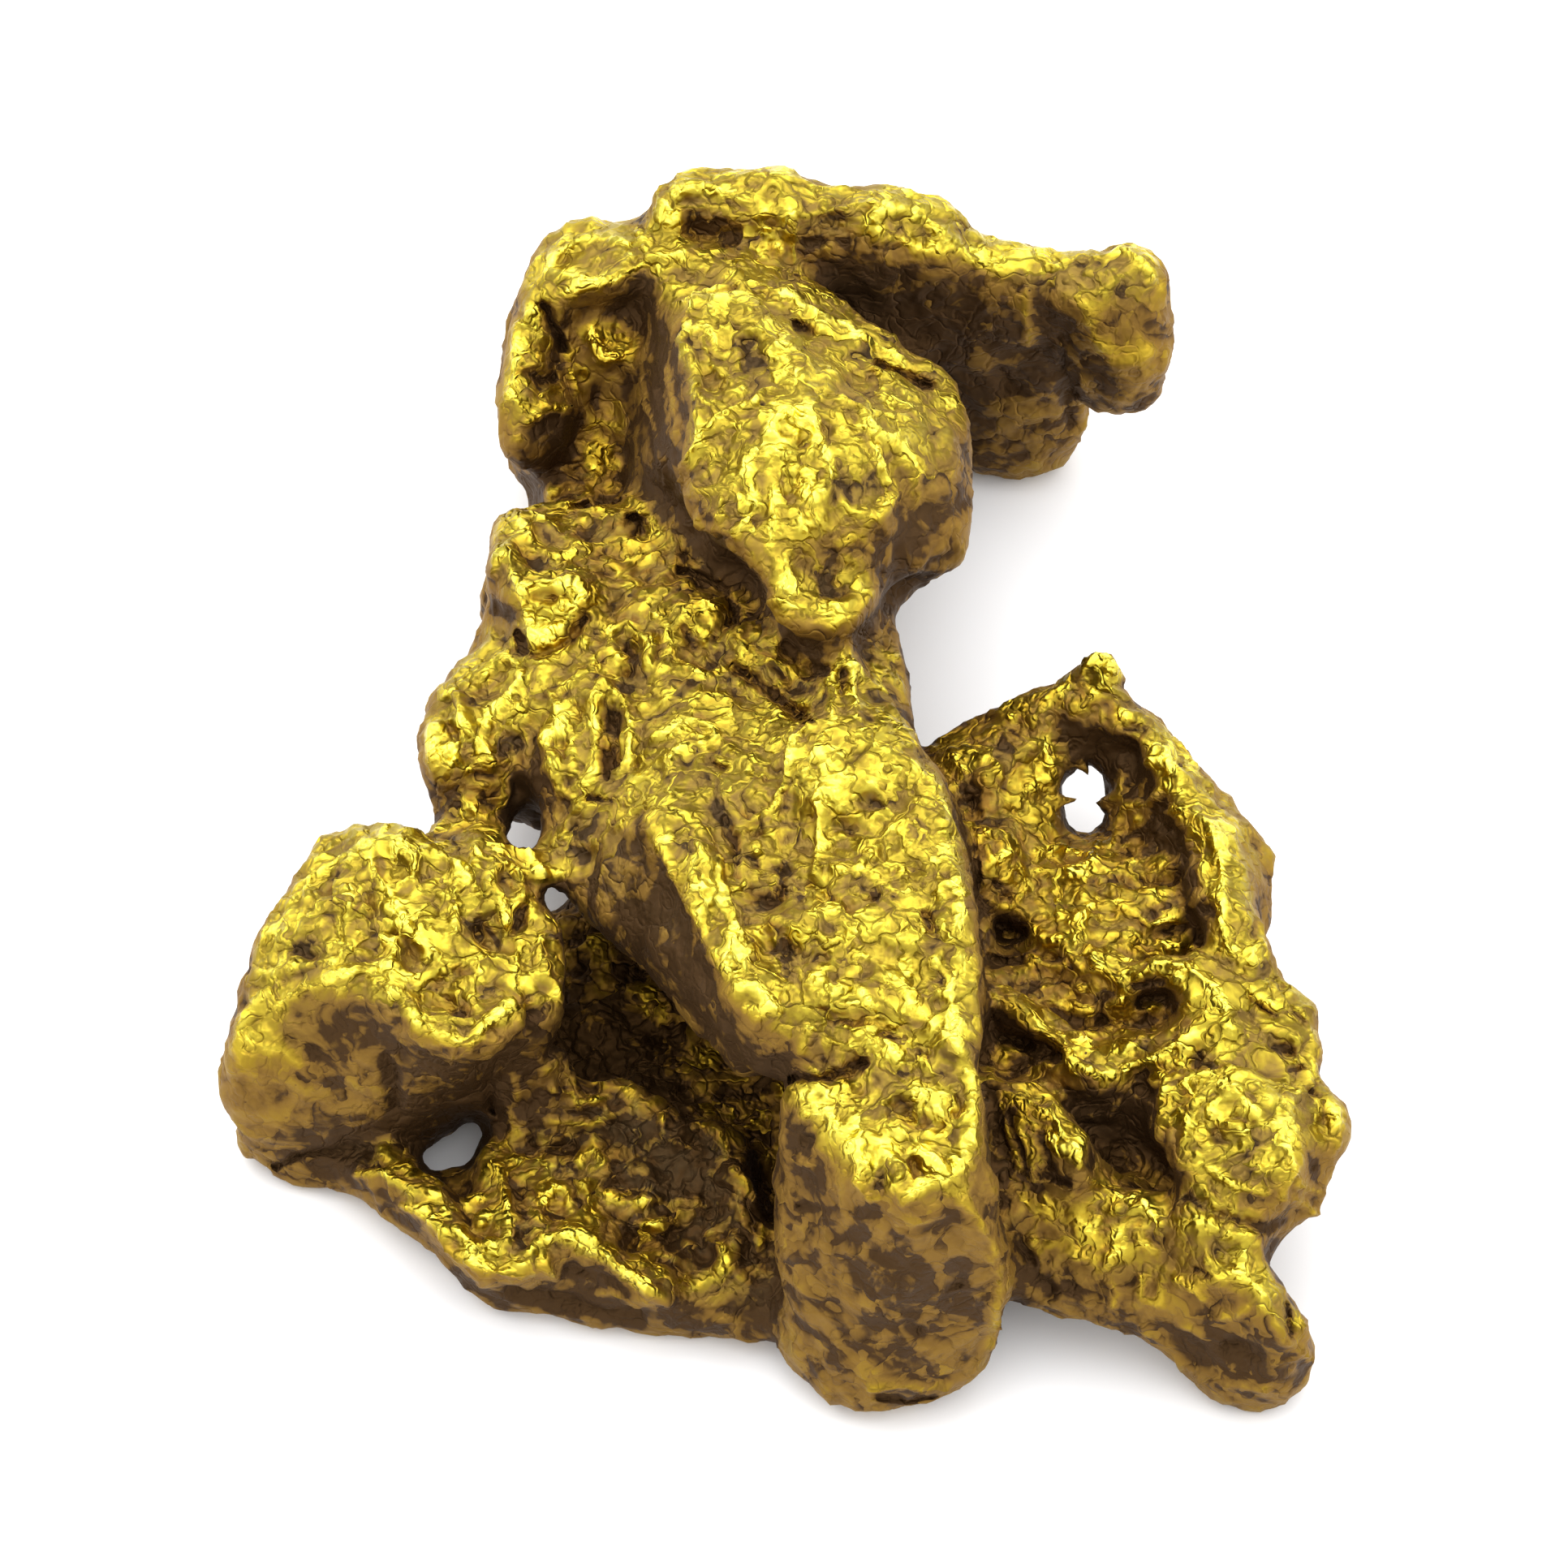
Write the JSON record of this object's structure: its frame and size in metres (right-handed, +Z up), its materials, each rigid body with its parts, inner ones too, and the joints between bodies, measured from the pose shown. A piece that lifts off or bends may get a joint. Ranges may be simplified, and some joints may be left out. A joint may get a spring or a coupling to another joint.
{
  "type": "gold nugget",
  "caption": "Natural placer gold nugget: a lumpy, folded mass with a high ridge, a hollow fold, a cave and a crumpled wing, lying flat as a specimen.",
  "frame": {"origin": "middle of the footprint, on the table that the nugget lies on", "axes": "+Z up; +Y from the foot of the high ridge towards the tall wall at the back, the nugget's length; +X towards the crumpled wing"},
  "size_m": [0.0232, 0.0263, 0.0094],
  "materials": {
    "gold": "water-worn native gold, satin with brown staining in the hollows"
  },
  "bodies": {
    "root": {"nugget": "gold"}
  },
  "joints": []
}
